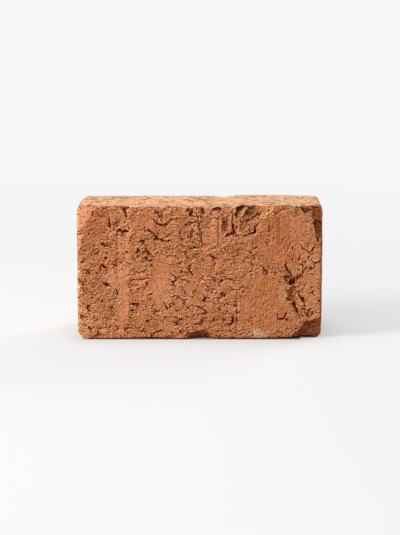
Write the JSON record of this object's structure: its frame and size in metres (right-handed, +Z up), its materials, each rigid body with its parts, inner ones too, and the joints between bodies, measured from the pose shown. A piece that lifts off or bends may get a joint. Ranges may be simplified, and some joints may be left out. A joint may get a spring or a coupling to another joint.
{
  "type": "clay brick",
  "caption": "Solid wire-cut fired-clay brick with torn bed faces, drying cracks and spalled corners, standing on its long edge.",
  "frame": {"origin": "centre of the base's bounding box", "axes": "+X along the brick's length, +Y through its thickness from the front bed face to the back one, +Z up its width as it stands on edge"},
  "size_m": [0.21, 0.064, 0.116],
  "materials": {
    "fired_clay": "matte"
  },
  "bodies": {
    "root": {"brick": "fired_clay"}
  },
  "joints": []
}
